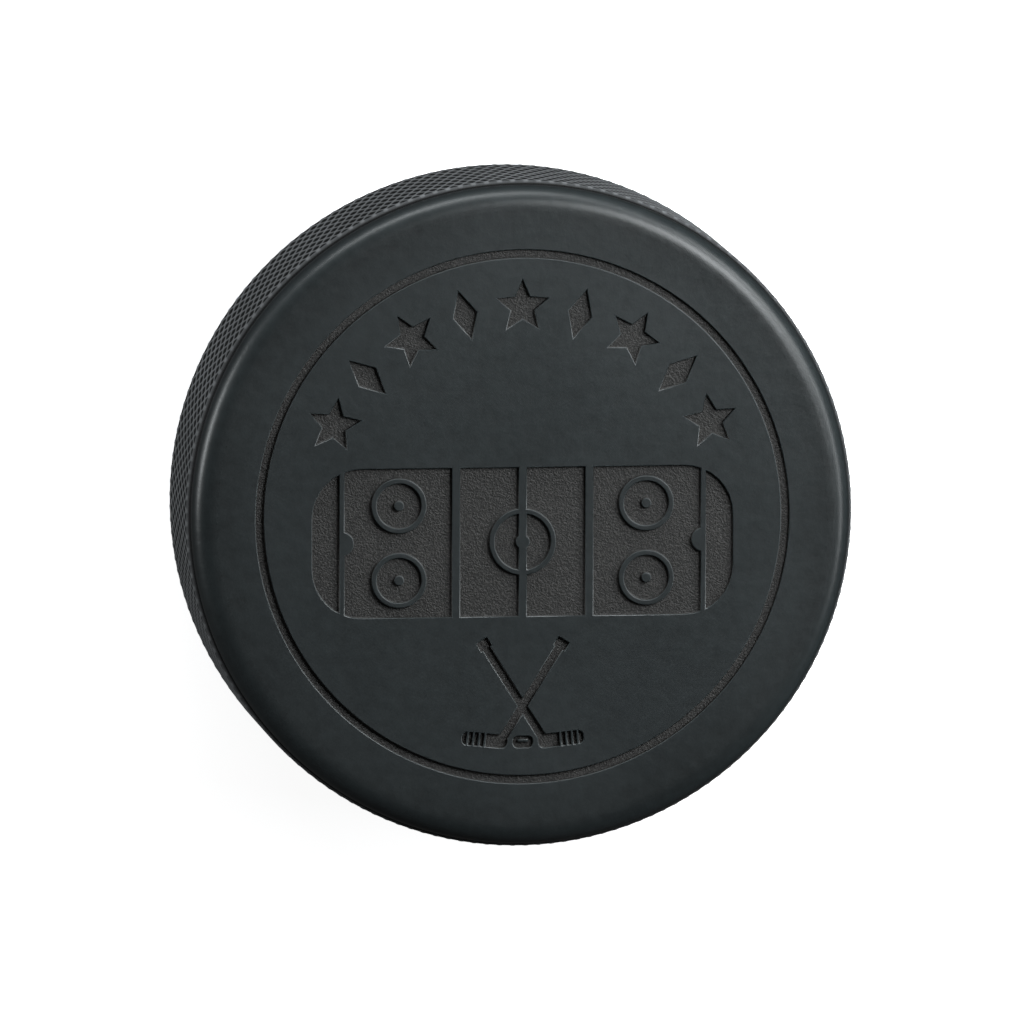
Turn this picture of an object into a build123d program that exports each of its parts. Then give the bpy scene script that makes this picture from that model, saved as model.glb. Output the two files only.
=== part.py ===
from build123d import *

import os
from math import cos, radians, sin

# An ice hockey puck: one block of vulcanised rubber, pressed in a two-part mould, then engraved on
# its upper face. Millimetres. The puck lies flat, +Z up, with the origin at the middle of its
# underside; the engraving reads upright with +Y at its top.

# Moulded blank
puck_diameter = 76.2         # over the crests of the gripping band
puck_thickness = 25.4
edge_roll = 2.2              # radius that turns each face over into the side
collar_height = 0.8          # smooth upright strip below each rolled edge
band_stand = 0.5             # how far the band's crests stand out from the collar
band_chamfer = 0.3           # bevel along both edges of the band
groove_width = 0.5           # sunk line between the collar and the band
groove_depth = 0.3           # measured in from the collar

# Engraving and its border ring
engraving_depth = 0.5
ring_inset = 7.6             # from the puck's outside to the ring's outside
ring_width = 0.95

# The artwork is drawn at its own size inside a circle, then scaled to fit inside the ring
artwork_gap = 2.4            # left clear between the ring and the artwork
artwork_radius = 27.1        # the circle that the drawing fills

# Arc of stars and lozenges, across the top
ornament_count = 9           # stars and lozenges in turn, beginning with a star
arc_span = 127.0             # degrees, from the first ornament's middle to the last one's
star_points = 5
star_radius = 3.15
star_waist = 1.4             # radius of the star's inner corners
lozenge_height = 5.8
lozenge_width = 2.8

# Plan of an ice rink, across the middle: sunk ice with its markings left standing
rink_length = 48.0
rink_width = 17.0
rink_corner = 5.6
rink_drop = 2.85             # middle of the rink below the middle of the puck
rink_line = 0.9              # centre line and zone lines
rink_fine_line = 0.55        # goal lines and circles
zone_line_place = 7.6        # zone lines, out from the centre line
goal_line_inset = 3.4        # goal lines, in from the ends of the rink
centre_circle = 3.5          # radii of the circles, to the middle of their lines
end_circle = 2.85
goal_crease = 1.35
centre_spot = 0.8
end_spot = 0.55

# Two crossed sticks with a puck between their blades, at the bottom
cross_drop = 21.6            # where the sticks cross, below the middle of the puck
shaft_lean = 32.0            # degrees from upright
shaft_up = 8.9               # along the shaft, from the crossing to the butt
shaft_down = 4.8             # and from the crossing to the heel
shaft_width = 0.95
knob_length = 1.1
knob_width = 1.45
blade_length = 5.2
blade_height = 1.55
blade_corner = 0.65          # rounding of the blade's ends
blade_lift = 6.0             # degrees that the blade rises towards its toe
tape_count = 4               # bands of tape, left standing across the blade
tape_width = 0.22
tape_pitch = 0.66
small_puck_width = 2.3
small_puck_height = 1.35
small_puck_corner = 0.55
small_puck_seam = 0.25       # line left standing between its top and its side
small_puck_seam_rise = 0.15


def blank():
    """The puck as it comes from the mould: one closed outline turned about Z."""
    collar_radius = puck_diameter / 2 - band_stand
    band_radius = puck_diameter / 2
    collar_end = edge_roll + collar_height
    band_start = collar_end + groove_width
    lower_side = [
        (collar_radius, 0),
        (collar_radius, collar_end),
        (collar_radius - groove_depth, collar_end + groove_width / 2),
        (band_radius - band_chamfer, band_start),
        (band_radius, band_start + band_chamfer),
    ]
    upper_side = [(r, puck_thickness - z) for r, z in reversed(lower_side)]
    section = Polygon((0, 0), *lower_side, *upper_side, (0, puck_thickness), align=None)
    rims = [v for v in section.vertices() if v.X == collar_radius and v.Y in (0, puck_thickness)]
    return revolve(Plane.XZ * fillet(rims, edge_roll), Axis.Z)


def star():
    """Star with one point up."""
    corners = []
    for k in range(2 * star_points):
        radius = star_waist if k % 2 else star_radius
        turn = radians(90 + 180 * k / star_points)
        corners.append((radius * cos(turn), radius * sin(turn)))
    return Polygon(*corners, align=None)


def lozenge():
    """Lozenge standing on its point."""
    half_width = lozenge_width / 2
    half_height = lozenge_height / 2
    return Polygon((half_width, 0), (0, half_height), (-half_width, 0), (0, -half_height), align=None)


def ornament_arc():
    """Stars and lozenges in turn, their outer tips on the artwork's circle."""
    arc = Sketch()
    step = arc_span / (ornament_count - 1)
    for k in range(ornament_count):
        shape = lozenge() if k % 2 else star()
        turn = arc_span / 2 - k * step
        arc += Rot(0, 0, turn) * Pos(0, artwork_radius - star_radius) * shape
    return arc


def circle_line(radius):
    """Fine line round a circle."""
    return Circle(radius + rink_fine_line / 2) - Circle(radius - rink_fine_line / 2)


def rink():
    """Rounded rectangle of sunk ice, less the lines, circles and spots that are left standing."""
    goal_line_place = rink_length / 2 - goal_line_inset
    end_circle_place = (zone_line_place + goal_line_place) / 2
    end_circle_rise = rink_width / 4
    marks = Rectangle(rink_line, rink_width) + circle_line(centre_circle) + Circle(centre_spot)
    for side in (-1, 1):
        marks += Pos(side * zone_line_place, 0) * Rectangle(rink_line, rink_width)
        marks += Pos(side * goal_line_place, 0) * Rectangle(rink_fine_line, rink_width)
        crease = Circle(goal_crease) & Pos(-side * goal_crease, 0) * Rectangle(
            2 * goal_crease, 2 * goal_crease
        )
        marks += Pos(side * goal_line_place, 0) * crease
        for rise in (-end_circle_rise, end_circle_rise):
            marks += Pos(side * end_circle_place, rise) * (circle_line(end_circle) + Circle(end_spot))
    ice = RectangleRounded(rink_length, rink_width, rink_corner)
    return Pos(0, -rink_drop) * (ice - marks)


def stick():
    """Stick whose butt leans to the right and whose blade runs out to the left, in drawing place."""
    shaft = Pos(0, (shaft_up - shaft_down) / 2) * Rectangle(shaft_width, shaft_up + shaft_down)
    knob = Pos(0, shaft_up - knob_length / 2) * Rectangle(knob_width, knob_length)
    lean = Rot(0, 0, -shaft_lean)
    blade = Pos(-blade_length / 2, 0) * RectangleRounded(blade_length, blade_height, blade_corner)
    first_tape = blade_corner - blade_length
    for k in range(tape_count):
        blade -= Pos(first_tape + k * tape_pitch, 0) * Rectangle(tape_width, 2 * blade_height)
    heel_place = -shaft_down * sin(radians(shaft_lean))
    heel_drop = shaft_down * cos(radians(shaft_lean))
    blade = Pos(heel_place + blade_height / 2, -heel_drop) * Rot(0, 0, -blade_lift) * blade
    return lean * (shaft + knob) + blade


def emblem():
    """Crossed sticks and the small puck between them."""
    left_blade = stick()
    pair = left_blade + mirror(left_blade, Plane.YZ)
    small_puck = RectangleRounded(small_puck_width, small_puck_height, small_puck_corner)
    seam_length = small_puck_width - 2 * small_puck_corner
    seam = Pos(0, small_puck_seam_rise) * Rectangle(seam_length, small_puck_seam)
    blade_drop = shaft_down * cos(radians(shaft_lean))
    return Pos(0, -cross_drop) * (pair + Pos(0, -blade_drop) * (small_puck - seam))


def engraving():
    """Everything sunk into the upper face, as one cutter."""
    ring_outer = puck_diameter / 2 - ring_inset
    ring_inner = ring_outer - ring_width
    artwork_scale = (ring_inner - artwork_gap) / artwork_radius
    artwork = scale(ornament_arc() + rink() + emblem(), by=artwork_scale)
    ring = Circle(ring_outer) - Circle(ring_inner)
    face = Plane.XY.offset(puck_thickness - engraving_depth)
    return extrude(face * (ring + artwork), engraving_depth)


puck_body = blank() - engraving()
os.makedirs("parts", exist_ok=True)
export_step(puck_body, "parts/puck_body.step")
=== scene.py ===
import bpy
import numpy as np
from mathutils import Matrix, Vector
from mathutils.geometry import delaunay_2d_cdt


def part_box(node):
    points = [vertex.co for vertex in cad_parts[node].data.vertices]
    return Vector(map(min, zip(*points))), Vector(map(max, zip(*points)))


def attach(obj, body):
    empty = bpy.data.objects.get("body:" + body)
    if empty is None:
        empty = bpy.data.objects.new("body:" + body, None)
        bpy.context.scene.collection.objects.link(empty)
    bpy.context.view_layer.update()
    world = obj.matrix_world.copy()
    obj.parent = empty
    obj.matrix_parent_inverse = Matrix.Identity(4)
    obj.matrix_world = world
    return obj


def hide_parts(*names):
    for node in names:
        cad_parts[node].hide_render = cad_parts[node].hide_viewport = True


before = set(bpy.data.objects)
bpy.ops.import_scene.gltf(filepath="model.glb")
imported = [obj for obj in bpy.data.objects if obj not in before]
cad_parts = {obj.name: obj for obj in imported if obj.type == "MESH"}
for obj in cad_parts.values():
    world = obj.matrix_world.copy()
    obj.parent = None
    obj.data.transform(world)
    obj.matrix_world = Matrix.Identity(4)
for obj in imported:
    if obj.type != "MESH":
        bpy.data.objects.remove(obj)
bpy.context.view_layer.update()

mm = 0.001


# ---- The blank's side ---------------------------------------------------------------------------
# The whole puck is one block of black rubber, pressed hot between the two halves of a mould. Both
# faces turn over into the side on a rolled edge, then comes a smooth collar and a thin sunk line.

_, high_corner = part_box("puck_body")
band_radius = high_corner[0]
thickness = high_corner[2]
band_stand = 0.5 * mm
collar_radius = band_radius - band_stand
edge_roll = 2.2 * mm
collar_height = 0.8 * mm
collar_end = edge_roll + collar_height
collar_round = 0.12 * mm
groove_depth = 0.3 * mm
groove_radius = collar_radius - groove_depth
groove_width = 0.5 * mm
face_margin = 0.6 * mm
# How much lighter the collar is painted: a painted highlight with some wear.
collar_wear_and_highlight = 0.35
collar_end_wear_and_highlight = 0.1
steps_around = 960
roll_steps = 6


class Skin:
    """The puck's surface while it is laid: numbered points, and triangles that name them."""

    def __init__(self):
        self.points = []
        self.wear_and_painted_light = []
        self.triangles = []
        self.finishes = []
        self.flat = []
        self.count = 0

    def row(self, x, y, z, wear_and_painted_light=0.0):
        """Lays a row of points, each with its wear and painted light; gives their numbers."""
        fresh = np.stack(np.broadcast_arrays(x, y, z), axis=-1)
        numbers = self.count + np.arange(len(fresh))
        self.points.append(fresh)
        self.wear_and_painted_light.append(np.broadcast_to(wear_and_painted_light, len(fresh)))
        self.count += len(fresh)
        return numbers

    def cover(self, triangles, finish, flat=False):
        """Lays triangles, given as rows of three point numbers, all of one finish."""
        self.triangles.append(triangles)
        self.finishes.append(np.full(len(triangles), finish))
        self.flat.append(np.full(len(triangles), flat))

    def strip(self, first, second, finish, slant=0):
        """Closes the strip between two rows of equal length, each quad cut on one of its diagonals:
        from the first row forward to the second, or back where slant is 1."""
        first_on, second_on = np.roll(first, -1), np.roll(second, -1)
        if slant:
            pair = (first, second_on, second), (first, first_on, second_on)
        else:
            pair = (first, first_on, second), (first_on, second_on, second)
        self.cover(np.concatenate([np.stack(three, axis=1) for three in pair]), finish)


skin = Skin()
MOULDED, GRIPPING, ENGRAVED = 0, 1, 2


def around(half_steps=0):
    """Angles of one turn in equal steps, moved on by some half steps."""
    return 2 * np.pi * (np.arange(steps_around) + half_steps / 2) / steps_around


def edge_outline():
    """Radius, height, and wear with painted light, from the flat of a face out to the sunk line:
    the roll is a quarter circle, lighter at the middle of its turn; the collar is painted lighter,
    a painted highlight with some wear; and the collar's far end is cut back a little before the
    line's bottom."""
    turn = np.linspace(0, np.pi / 2, roll_steps + 1)
    flat_radius = collar_radius - edge_roll
    radius = [flat_radius - face_margin, *(flat_radius + edge_roll * np.sin(turn))]
    height = [0.0, *(edge_roll * (1 - np.cos(turn)))]
    wear_and_painted_light = [0.0, *(np.sin(2 * turn) ** 2)]
    radius += [collar_radius, collar_radius - collar_round, groove_radius]
    height += [collar_end - collar_round, collar_end, collar_end + groove_width / 2]
    # The collar is painted lighter as a painted highlight with some wear; the sunk line gets none.
    wear_and_painted_light += [collar_wear_and_highlight, collar_end_wear_and_highlight, 0.0]
    return zip(radius, height, wear_and_painted_light)


lower_rows = []
upper_rows = []
for radius, height, wear_and_painted_light in edge_outline():
    x, y = radius * np.cos(around()), radius * np.sin(around())
    lower_rows.append(skin.row(x, y, height, wear_and_painted_light))
    upper_rows.append(skin.row(x, y, thickness - height, wear_and_painted_light))
for inner, outer in zip(lower_rows, lower_rows[1:]):
    skin.strip(inner, outer, GRIPPING if outer is lower_rows[-1] else MOULDED)
for inner, outer in zip(upper_rows, upper_rows[1:]):
    skin.strip(outer, inner, GRIPPING if outer is upper_rows[-1] else MOULDED)


# ---- The gripping band --------------------------------------------------------------------------
# A net of crossing ridges stands out of the side, cut into the mould by knurling, so that a taped
# blade can hold the puck. Its crests are painted pale, from wear by sticks and boards and as a
# painted highlight; its pits are painted black as painted shade, and its shoulders are painted
# lighter as a painted highlight.

pits_around = 160
steps_per_pit = steps_around // pits_around
band_rows = 64
band_start = collar_end + groove_width
band_step = (thickness - 2 * band_start) / band_rows
pit_depth = 0.18 * mm
ridge_reach = 0.35
border_stand = 0.75
band_bevel = 0.3 * mm
crest_wear = 0.012 * mm
# How light the band's shoulder rows are painted: a painted highlight.
shoulder_painted_highlight = 0.62


def net(turn, row):
    """How far the net stands at an angle and a row, from 0 in a pit to 1 on a crest. Two families
    of ridges climb at equal slopes either way; each is a raised cosine across its own line, and
    the two join as 1 less the product of what each leaves."""
    along = pits_around * turn / (2 * np.pi)
    climb = (row - band_rows / 2) / (2 * steps_per_pit)
    gap = 1.0
    for phase in (along + climb, along - climb):
        off = np.abs(phase - np.round(phase)) / ridge_reach
        gap = gap * (1 - (0.5 + 0.5 * np.cos(np.pi * np.minimum(off, 1))))
    return 1 - gap


band = []
for row in range(band_rows + 1):
    turn = around(row % 2)
    height = band_start + row * band_step
    edge_rows = min(row, band_rows - row)
    inward = np.clip(1 - edge_rows * band_step / band_bevel, 0, 1)
    crest = band_radius - crest_wear - band_bevel * inward**2
    stands = net(turn, row)
    if edge_rows == 1:
        stands = np.maximum(stands, border_stand)
    radius = crest - pit_depth * (1 - stands) * min(edge_rows, 1)
    # The net's height sets the wear and painted light: pale crests from wear and painted highlight,
    # black pits as painted shade; the shoulder rows are painted lighter as a painted highlight.
    wear_and_painted_light = stands if edge_rows else shoulder_painted_highlight
    band.append(skin.row(radius * np.cos(turn), radius * np.sin(turn), height, wear_and_painted_light))
for row, (lower, upper) in enumerate(zip(band, band[1:])):
    skin.strip(lower, upper, GRIPPING, slant=row % 2)
skin.strip(lower_rows[-1], band[0], GRIPPING)
skin.strip(band[-1], upper_rows[-1], GRIPPING)


# ---- The engraving ------------------------------------------------------------------------------
# The upper face is engraved after moulding: a ring, an arc of stars and lozenges, the plan of a
# rink with its lines left standing, and two crossed sticks over a small puck. The artwork is drawn
# in millimetres inside a circle of its own, then scaled to fit inside the ring.

depth = 0.5 * mm
ring_inset = 7.6 * mm
ring_width = 0.95 * mm
ring_outer = band_radius - ring_inset
ring_inner = ring_outer - ring_width
ring_step = 0.5 * mm
artwork_gap = 2.4 * mm
artwork_radius = 27.1
artwork_scale = (ring_inner - artwork_gap) / artwork_radius
arc_step = 0.3
fewest_steps = 24
corner_steps = 9
crease_steps = 15
CUT, LEFT = True, False


def circle(radius, x=0.0, y=0.0, step=arc_step):
    """Points round a circle, at most a step apart."""
    steps = max(fewest_steps, int(2 * np.pi * radius / step))
    turn = np.linspace(0, 2 * np.pi, steps, endpoint=False)
    return np.stack([x + radius * np.cos(turn), y + radius * np.sin(turn)], axis=1)


def slab(length, width, x=0.0, y=0.0, corner=0.0):
    """Outline of an upright rectangle about a point; each corner is a quarter circle if rounded."""
    turn = np.linspace(0, np.pi / 2, corner_steps) if corner else np.zeros(1)
    outline = []
    for quarter, (sx, sy) in enumerate(((1, 1), (-1, 1), (-1, -1), (1, -1))):
        bend = turn + quarter * np.pi / 2
        outline.append(np.stack([
            x + sx * (length / 2 - corner) + corner * np.cos(bend),
            y + sy * (width / 2 - corner) + corner * np.sin(bend),
        ], axis=1))
    return np.concatenate(outline)


def placed(outline, degrees=0.0, x=0.0, y=0.0):
    """An outline turned about the drawing's middle and then moved."""
    c, s = np.cos(np.radians(degrees)), np.sin(np.radians(degrees))
    return outline @ np.array([[c, s], [-s, c]]) + (x, y)


def ornament_arc():
    """Stars and lozenges in turn on an arc: a star's corners lie on two circles by turns."""
    count, span = 9, 127.0
    star_points, star_radius, star_waist = 5, 3.15, 1.4
    half_width, half_height = 1.4, 2.9
    corner = np.arange(2 * star_points)
    turn = np.pi / 2 + corner * np.pi / star_points
    reach = np.where(corner % 2, star_waist, star_radius)
    star = np.stack([reach * np.cos(turn), reach * np.sin(turn)], axis=1)
    lozenge = np.array([[half_width, 0], [0, half_height], [-half_width, 0], [0, -half_height]])
    for k in range(count):
        shape = placed(lozenge if k % 2 else star, y=artwork_radius - star_radius)
        yield CUT, placed(shape, span / 2 - k * span / (count - 1))


def rink():
    """The ice as a rounded slab, then what is left standing on it, in the order it is drawn."""
    length, width, corner, drop = 48.0, 17.0, 5.6, 2.85
    line, fine_line = 0.9, 0.55
    zone_place, goal_inset, crease_radius = 7.6, 3.4, 1.35
    centre_circle, centre_spot = 3.5, 0.8
    end_circle, end_spot = 2.85, 0.55
    past_edge = 0.5
    goal_place = length / 2 - goal_inset
    yield CUT, slab(length, width, y=-drop, corner=corner)
    circles = [(centre_circle, centre_spot, 0.0, 0.0)]
    for side in (-1, 1):
        for rise in (-1, 1):
            place = side * (zone_place + goal_place) / 2
            circles.append((end_circle, end_spot, place, rise * width / 4))
    for radius, spot, x, rise in circles:
        yield LEFT, circle(radius + fine_line / 2, x, rise - drop)
        yield CUT, circle(radius - fine_line / 2, x, rise - drop)
        yield LEFT, circle(spot, x, rise - drop)
    for x, thick in ((0, line), (-zone_place, line), (zone_place, line),
                     (-goal_place, fine_line), (goal_place, fine_line)):
        yield LEFT, slab(thick, width + 2 * past_edge, x=x, y=-drop)
    for side in (-1, 1):
        turn = np.linspace(np.pi / 2, 3 * np.pi / 2, crease_steps)
        crease = crease_radius * np.stack([np.cos(turn), np.sin(turn)], axis=1) * (side, 1)
        yield LEFT, crease[::side] + (side * goal_place, -drop)


def crossed_sticks():
    """Two sticks that mirror each other, each a shaft, a knob and a taped blade, and a puck."""
    drop, lean, up, down, lift = 21.6, 32.0, 8.9, 4.8, 6.0
    shaft_width, knob_width, knob_length = 0.95, 1.45, 1.1
    blade_length, blade_height, corner = 5.2, 1.55, 0.65
    tapes, tape_width, tape_pitch = 4, 0.22, 0.66
    puck_width, puck_height, puck_corner, seam, seam_rise = 2.3, 1.35, 0.55, 0.25, 0.15
    heel = -down * np.sin(np.radians(lean)), -down * np.cos(np.radians(lean))
    for side in (1, -1):
        blade = [(CUT, slab(blade_length, blade_height, x=-blade_length / 2, corner=corner))]
        for k in range(tapes):
            place = corner - blade_length + k * tape_pitch
            blade.append((LEFT, slab(tape_width, 2 * blade_height, x=place)))
        stick = [
            (use, placed(outline, -lift, heel[0] + blade_height / 2, heel[1]))
            for use, outline in blade
        ]
        for wide, long, place in ((shaft_width, up + down, (up - down) / 2),
                                  (knob_width, knob_length, up - knob_length / 2)):
            stick.append((CUT, placed(slab(wide, long, y=place), -lean)))
        for use, outline in stick:
            yield use, outline[::side] * (side, 1) - (0, drop)
    middle = heel[1] - drop
    yield CUT, slab(puck_width, puck_height, y=middle, corner=puck_corner)
    yield LEFT, slab(puck_width - 2 * puck_corner, seam, y=middle + seam_rise)


drawing = [(CUT, circle(ring_outer, step=ring_step)), (LEFT, circle(ring_inner, step=ring_step))]
for shapes in (ornament_arc(), rink(), crossed_sticks()):
    drawing += [(use, outline * artwork_scale) for use, outline in shapes]


def windings(points, outline):
    """How many times a closed outline goes round each point: each edge that crosses the level of
    the point to its right counts 1 going up and -1 going down."""
    start, end = outline, np.roll(outline, -1, axis=0)
    rise = (end - start)[:, 1]
    above = points[:, None, 1]
    up = (start[:, 1] <= above) & (end[:, 1] > above)
    down = (start[:, 1] > above) & (end[:, 1] <= above)
    side = (end - start)[:, 0] * (above - start[:, 1]) - (points[:, None, 0] - start[:, 0]) * rise
    return (up & (side > 0)).sum(axis=1) - (down & (side < 0)).sum(axis=1)


all_triangles = 0
same_spot = 1e-5


def net_of_triangles(outlines):
    """Triangles that keep every outline as edges. Gives the points, in the order that they went in
    with the outlines' crossings after them, and the triangles with their middles."""
    points = np.concatenate(outlines)
    ends = np.cumsum([len(outline) for outline in outlines])
    edges = np.stack([np.arange(len(points)), np.arange(len(points)) + 1], axis=1)
    edges[ends - 1, 1] = ends - [len(outline) for outline in outlines]
    spots = [Vector(spot) for spot in (points / mm).tolist()]
    made, _, faces, origins, _, _ = delaunay_2d_cdt(
        spots, edges.tolist(), [], all_triangles, same_spot, True
    )
    place = np.array([spot[:] for spot in made]) * mm
    known = np.array([own[0] if own else -1 for own in origins])
    place[known >= 0] = points[known[known >= 0]]
    faces = np.array(faces)
    return place, known, faces, place[faces].mean(axis=1)


def sunk_outlines():
    """Outlines of all that is sunk, each with the sunk side on its left. The drawing is laid like
    coats of paint: a point is sunk if the last shape that covers it is a cut."""
    place, _, faces, middles = net_of_triangles([outline for _, outline in drawing])
    sunk = np.zeros(len(faces), bool)
    for use, outline in drawing:
        sunk[windings(middles, outline) != 0] = use
    edges = np.concatenate([faces[sunk][:, [k, (k + 1) % 3]] for k in range(3)])
    code, back = edges @ (len(place), 1), edges @ (1, len(place))
    rim = edges[~np.isin(code, back)]
    onward = dict(rim.tolist())
    while onward:
        start, spot = onward.popitem()
        loop = [start]
        while spot != start:
            loop.append(spot)
            spot = onward.pop(spot)
        yield place[loop]


def thinned(outline, least):
    """An outline without the points that stand closer than least after the one before, except
    where the one before turns less."""
    while True:
        ahead = np.roll(outline, -1, axis=0) - outline
        behind = np.roll(ahead, 1, axis=0)
        cross = behind[:, 0] * ahead[:, 1] - behind[:, 1] * ahead[:, 0]
        bend = np.abs(np.arctan2(cross, (behind * ahead).sum(axis=1)))
        close = np.hypot(*behind.T) < least
        drop = close & (bend <= np.roll(bend, 1))
        before = np.roll(close & ~drop, -1)
        gone = drop | before
        gone &= ~np.roll(gone, 1)
        if not gone.any():
            return outline
        outline = outline[~gone]


least_mitre = 0.35


def moved_out(outline, distance):
    """An outline moved towards its right, each point along the mitre of its two edges."""
    ahead = np.roll(outline, -1, axis=0) - outline
    ahead /= np.hypot(*ahead.T)[:, None]
    right = np.stack([ahead[:, 1], -ahead[:, 0]], axis=1)
    both = right + np.roll(right, 1, axis=0)
    mitre = both / np.maximum((both * np.roll(right, 1, axis=0)).sum(axis=1), least_mitre)[:, None]
    return outline + distance * mitre


lip_round = 0.09 * mm
floor_round = 0.07 * mm
draft = 0.03 * mm
shortest_edge = 0.08 * mm
# Rows down a wall: how far outside the outline, how deep, how much lighter it is painted (a painted
# highlight along the lip), and the finish below
wall = (
    (lip_round, 0.0, 0.2, MOULDED),
    (lip_round * 0.85, lip_round * 0.05, 0.8, MOULDED),
    (lip_round * 0.2, lip_round * 0.32, 1.0, MOULDED),
    (0.0, lip_round * 0.7, 0.5, ENGRAVED),
    (-draft, depth - floor_round, 0.0, ENGRAVED),
    (-draft - floor_round, depth, 0.0, ENGRAVED),
)
lips = []
floors = []
for outline in sunk_outlines():
    outline = thinned(outline, shortest_edge)
    rows = []
    for out, down, wear_and_painted_light, _ in wall:
        edge = moved_out(outline, out)
        rows.append((skin.row(edge[:, 0], edge[:, 1], thickness - down, wear_and_painted_light), edge))
    for (upper, _), (lower, _), (*_, finish) in zip(rows, rows[1:], wall):
        skin.strip(upper, lower, finish)
    lips.append(rows[0])
    floors.append(rows[-1])


def fill(rows, level, finish, facing=1):
    """Closes a flat area between numbered outlines, where they wind round it level times."""
    numbers = np.concatenate([row for row, _ in rows])
    outlines = [outline for _, outline in rows]
    _, known, faces, middles = net_of_triangles(outlines)
    wound = sum(windings(middles, outline) for outline in outlines)
    skin.cover(numbers[known[faces[wound == level]]][:, ::facing], finish, flat=True)


rim_radius = collar_radius - edge_roll - face_margin
rim = rim_radius * np.stack([np.cos(around()), np.sin(around())], axis=1)
fill([(upper_rows[0], rim), *lips], 1, MOULDED)
fill(floors, 1, ENGRAVED)
fill([(lower_rows[0], rim)], 1, MOULDED, facing=-1)

puck_mesh = bpy.data.meshes.new("moulded_puck")
points = np.concatenate(skin.points)
triangles = np.concatenate(skin.triangles)
puck_mesh.vertices.add(len(points))
puck_mesh.vertices.foreach_set("co", points.astype(np.float32).ravel())
puck_mesh.loops.add(triangles.size)
puck_mesh.loops.foreach_set("vertex_index", triangles.astype(np.int32).ravel())
puck_mesh.polygons.add(len(triangles))
puck_mesh.polygons.foreach_set("loop_start", np.arange(0, triangles.size, 3, dtype=np.int32))
puck_mesh.polygons.foreach_set("material_index", np.concatenate(skin.finishes).astype(np.int32))
puck_mesh.update(calc_edges=True)
puck_mesh.polygons.foreach_set("use_smooth", ~np.concatenate(skin.flat))
# A per-point map of wear and painted light: the collars, band shoulders and engraving lips are
# painted lighter as a painted highlight, the crests pale from wear and painted highlight, the pits
# black as painted shade.
wear_and_painted_light_map = puck_mesh.attributes.new("wear_and_painted_light_map", "FLOAT", "POINT")
wear_and_painted_light_map.data.foreach_set("value", np.concatenate(skin.wear_and_painted_light).astype(np.float32))
puck_mesh.validate(verbose=True)
puck = bpy.data.objects.new("moulded_puck", puck_mesh)
bpy.context.scene.collection.objects.link(puck)
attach(puck, "root")
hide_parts("puck_body")


# ---- The rubber's finishes ----------------------------------------------------------------------
# Vulcanised rubber filled with carbon black: a matte charcoal with a faint bloom, streaked along
# the rolled edges by the mould's polish. The net is painted lighter on its crests than in its pits:
# wear with painted highlight on the crests, painted shade in the pits. The engraving's lips are
# painted lighter as a painted highlight, and the engraving tool leaves a coarse, slightly browned
# grain.


class Reading:
    """A number that a material reads over the surface. Sums written with it lay Math nodes."""

    def __init__(self, finish, socket):
        self.finish = finish
        self.socket = socket

    def worked(self, operation, *terms):
        return self.finish.add("ShaderNodeMath", {"operation": operation}, *terms)

    def __add__(self, other):
        return self.worked("ADD", self, other)

    def __sub__(self, other):
        return self.worked("SUBTRACT", self, other)

    def __rsub__(self, other):
        return self.worked("SUBTRACT", other, self)

    def __mul__(self, other):
        return self.worked("MULTIPLY", self, other)

    __radd__ = __add__
    __rmul__ = __mul__


class Finish:
    """One material, laid node by node onto its shader."""

    def __init__(self, name, **constants):
        self.material = bpy.data.materials.new(name)
        self.material.use_nodes = True
        self.tree = self.material.node_tree
        self.shader = self.tree.nodes["Principled BSDF"]
        for socket, value in constants.items():
            self.shader.inputs[socket.replace("_", " ")].default_value = value

    def feed(self, socket, value):
        if isinstance(value, Reading):
            self.tree.links.new(value.socket, socket)
        else:
            socket.default_value = value

    def add(self, kind, settings, *terms, output=0, **named):
        """Lays one node: its settings, then its sockets in order or by name. Gives one output."""
        node = self.tree.nodes.new(kind)
        for setting, value in settings.items():
            setattr(node, setting, value)
        for place, value in [*enumerate(terms), *named.items()]:
            if value is not None:
                self.feed(node.inputs[place], value)
        return Reading(self, node.outputs[output])

    def grain(self, place, per_metre, detail=2.0, roughness=0.5):
        """Cloudy noise about 0.5, with so many grains to a metre."""
        return self.add("ShaderNodeTexNoise", {}, Vector=place, Scale=per_metre, Detail=detail,
                        Roughness=roughness)

    def between(self, reading, low, high):
        """0 below low, 1 above high, and a smooth step from one to the other."""
        settings = {"interpolation_type": "SMOOTHSTEP"}
        return self.add("ShaderNodeMapRange", settings, reading, low, high, 0.0, 1.0)

    def blend(self, share, first, second):
        """A colour from first to second."""
        return self.add("ShaderNodeMix", {"data_type": "RGBA"}, share, None, None, None, None,
                        None, first, second, output=2)

    def finish(self, colour, roughness, height):
        """Gives the shader its colour, its roughness and a bump whose height is in metres."""
        self.feed(self.shader.inputs["Base Color"], colour)
        self.feed(self.shader.inputs["Roughness"], roughness)
        bump = self.add("ShaderNodeBump", {}, Height=height, Distance=1.0, Strength=1.0)
        self.feed(self.shader.inputs["Normal"], bump)
        return self.material


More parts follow.
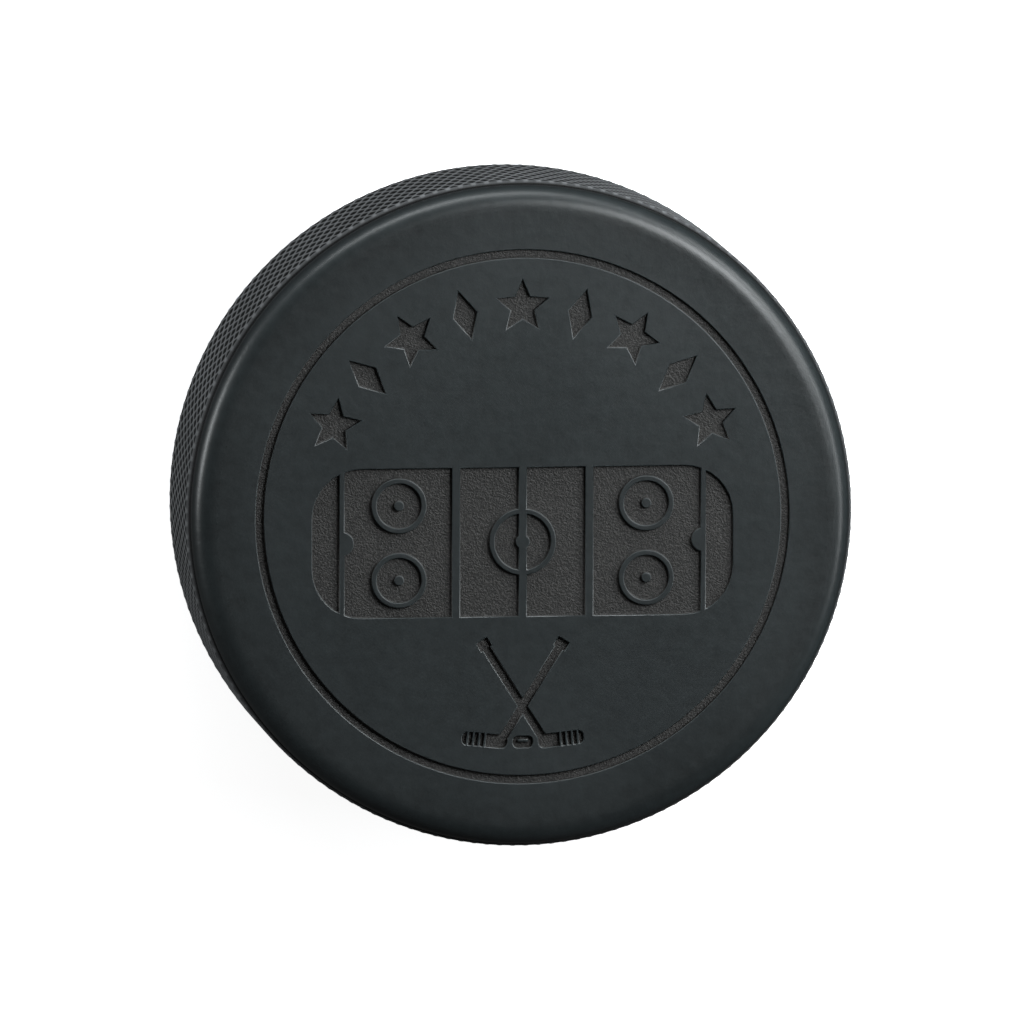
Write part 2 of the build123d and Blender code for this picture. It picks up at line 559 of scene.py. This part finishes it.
def moulded_rubber():
    """The faces, rolled edges and collars. Past the start of the roll it is streaked outwards."""
    dark, pale = (0.0068, 0.0086, 0.0092, 1.0), (0.028, 0.035, 0.037, 1.0)
    roll_start, roll_full = 34.6 * mm, 36.4 * mm
    rubber = Finish("moulded_rubber")
    place = rubber.add("ShaderNodeTexCoord", {}, output="Object")
    wear_and_painted_light_map = rubber.add("ShaderNodeAttribute", {"attribute_name": "wear_and_painted_light_map"}, output="Fac")
    cloud = rubber.grain(place, per_metre=60.0, detail=3.0)
    mottle = rubber.grain(place, per_metre=700.0, detail=3.0)
    grit = rubber.grain(place, per_metre=6000.0, detail=2.0)
    level = rubber.add("ShaderNodeVectorMath", {"operation": "MULTIPLY"}, place, (1.0, 1.0, 0.0))
    away = rubber.add("ShaderNodeVectorMath", {"operation": "LENGTH"}, level, output="Value")
    spoke = rubber.add("ShaderNodeVectorMath", {"operation": "NORMALIZE"}, level)
    streak = rubber.grain(spoke, per_metre=95.0, detail=2.0)
    rolled = rubber.between(away, roll_start, roll_full)
    # Lighter where the wear and painted light map is high: the roll lighter at the middle of its
    # turn, the collar with a painted highlight and some wear, and inside the roll a stronger
    # painted highlight along the engraving's lips.
    wear_and_highlight = wear_and_painted_light_map * (0.3 + 0.2 * streak + 0.5 * (1.0 - rolled))
    tone = 0.1 + 0.3 * cloud + 0.5 * (mottle - 0.5) + 0.3 * (grit - 0.5) + wear_and_highlight
    colour = rubber.blend(tone, dark, pale)
    roughness = 0.4 + 0.1 * (cloud - 0.5) + 0.12 * (grit - 0.5) + rolled * (0.08 * streak - 0.06)
    height = 4e-6 * grit + 3.2e-5 * mottle + 7e-6 * rolled * streak
    return rubber.finish(colour, roughness, height)


def gripping_rubber():
    """The net and the sunk lines beside it: pale on the crests, from wear and a painted highlight,
    and black in the pits as painted shade.
    """
    dark, pale = (0.001, 0.0011, 0.0012, 1.0), (0.2, 0.206, 0.213, 1.0)
    # Map levels where the pits are painted black (painted shade) and the crests fully pale (wear
    # with painted highlight).
    dark_pit_level, pale_crest_level = 0.45, 1.0
    rubber = Finish("gripping_rubber", Specular_IOR_Level=0.2)
    place = rubber.add("ShaderNodeTexCoord", {}, output="Object")
    wear_and_painted_light_map = rubber.add("ShaderNodeAttribute", {"attribute_name": "wear_and_painted_light_map"}, output="Fac")
    cloud = rubber.grain(place, per_metre=90.0, detail=3.0)
    mottle = rubber.grain(place, per_metre=1500.0, detail=3.0)
    grit = rubber.grain(place, per_metre=7000.0, detail=2.0)
    # Crest share: pale for wear and painted highlight, black pit colour for painted shade.
    crest = rubber.between(wear_and_painted_light_map, dark_pit_level, pale_crest_level)
    tone = crest * (0.55 + 0.5 * cloud + 0.4 * (mottle - 0.5)) + 0.15 * (grit - 0.5)
    colour = rubber.blend(tone, dark, pale)
    roughness = 0.72 - 0.22 * crest + 0.15 * (mottle - 0.5)
    height = 4e-6 * grit + 2e-5 * mottle
    return rubber.finish(colour, roughness, height)


def engraved_rubber():
    """The sunk floors and walls: coarse grit with pale specks where the tool broke through."""
    dark, pale = (0.0016, 0.0015, 0.0014, 1.0), (0.034, 0.0318, 0.03, 1.0)
    speck_start, speck_full = 0.42, 0.66
    rubber = Finish("engraved_rubber")
    place = rubber.add("ShaderNodeTexCoord", {}, output="Object")
    cloud = rubber.grain(place, per_metre=120.0, detail=3.0)
    grit = rubber.grain(place, per_metre=3800.0, detail=3.0, roughness=0.6)
    fine = rubber.grain(place, per_metre=5200.0, detail=1.0)
    speck = rubber.between(fine, speck_start, speck_full)
    tone = 0.15 + 0.3 * cloud + 1.1 * (grit - 0.5) + 0.5 * speck
    colour = rubber.blend(tone, dark, pale)
    roughness = 0.6 + 0.3 * (grit - 0.5)
    height = 7e-5 * grit + 2.5e-5 * speck
    return rubber.finish(colour, roughness, height)


for finish in (moulded_rubber(), gripping_rubber(), engraved_rubber()):
    puck_mesh.materials.append(finish)


# ---- The table and the light --------------------------------------------------------------------
# A sheet of white paper with a glow of its own, so that it stays white under weak lamps. Two soft
# boxes up to the right rake the engraving, and long strips further out, to the right, the top and
# the left, draw the soft lines along the rolled edge.

white = (1.0, 1.0, 1.0, 1.0)
paper = Finish("white_paper", Roughness=0.9, Emission_Color=white, Emission_Strength=0.9)
paper_place = paper.add("ShaderNodeTexCoord", {}, output="Object")
paper_tone = paper.grain(paper_place, per_metre=400.0, detail=2.0)
paper_shade, paper_white = (0.86, 0.86, 0.86, 1.0), (0.9, 0.9, 0.9, 1.0)
paper_colour = paper.blend(paper_tone, paper_shade, paper_white)
paper.feed(paper.shader.inputs["Base Color"], paper_colour)
sheet_half = 4.0
sheet_drop = 0.02 * mm
sheet_corners = [
    (x * sheet_half, y * sheet_half, -sheet_drop) for x, y in ((-1, -1), (1, -1), (1, 1), (-1, 1))
]
sheet = bpy.data.meshes.new("table_sheet")
sheet.from_pydata(sheet_corners, [], [(0, 1, 2, 3)])
sheet.materials.append(paper.material)
table = bpy.data.objects.new("table_sheet", sheet)
bpy.context.scene.collection.objects.link(table)
table.visible_diffuse = False
table.visible_glossy = False

puck_middle = Vector((0.0, 0.0, thickness / 2))
lamp_colour = (0.96, 1.0, 1.015)
world_glow = 0.04


def soft_box(name, place, width, height, watts):
    """A rectangular lamp at a place in metres from the puck's middle, turned to face it."""
    lamp = bpy.data.lights.new(name, "AREA")
    lamp.shape = "RECTANGLE"
    lamp.size = width
    lamp.size_y = height
    lamp.energy = watts
    lamp.color = lamp_colour
    box = bpy.data.objects.new(name, lamp)
    box.location = puck_middle + Vector(place)
    box.rotation_euler = Vector(place).to_track_quat("Z", "Y").to_euler()
    bpy.context.scene.collection.objects.link(box)


soft_box("key_box", (0.12, 0.11, 0.22), 0.11, 0.11, 0.47)
soft_box("edge_box", (0.185, 0.13, 0.26), 0.14, 0.14, 0.2)
soft_box("top_strip", (-0.1, 0.5, 0.1), 0.5, 0.06, 1.3)
soft_box("top_edge_strip", (-0.05, 0.5, 0.18), 0.2, 0.06, 0.2)
soft_box("left_edge_strip", (-0.5, 0.1, 0.02), 0.2, 0.03, 1.0)
soft_box("right_strip", (0.42, 0.11, 0.25), 0.5, 0.08, 1.1)
soft_box("far_right_strip", (0.33, 0.38, 0.2), 0.5, 0.08, 0.7)

world = bpy.data.worlds.new("studio")
world.use_nodes = True
world.node_tree.nodes["Background"].inputs["Color"].default_value = white
world.node_tree.nodes["Background"].inputs["Strength"].default_value = world_glow
bpy.context.scene.world = world
bpy.context.scene.view_settings.view_transform = "Standard"


# ---- The camera ---------------------------------------------------------------------------------
# A long lens that looks down on the engraved face from a little to its upper left, so that the
# gripping band shows along that side.

lens = 1000.0
distance = 3.228
toward_camera = Vector((-0.1145, 0.113, 0.987)).normalized()
face_middle = Vector((0.0, 0.0, thickness))
aim = face_middle + Vector((-1.24 * mm, 0.57 * mm, 0.0))
sensor_width = 36.0
nearest, furthest = 0.01, 100.0
camera_data = bpy.data.cameras.new("camera")
camera_data.lens = lens
camera_data.sensor_width = sensor_width
camera_data.clip_start = nearest
camera_data.clip_end = furthest
camera = bpy.data.objects.new("camera", camera_data)
camera.location = aim + distance * toward_camera
right = Vector((0.0, 1.0, 0.0)).cross(toward_camera).normalized()
up = toward_camera.cross(right)
camera.rotation_euler = Matrix((right, up, toward_camera)).transposed().to_euler()
bpy.context.scene.collection.objects.link(camera)
bpy.context.scene.camera = camera
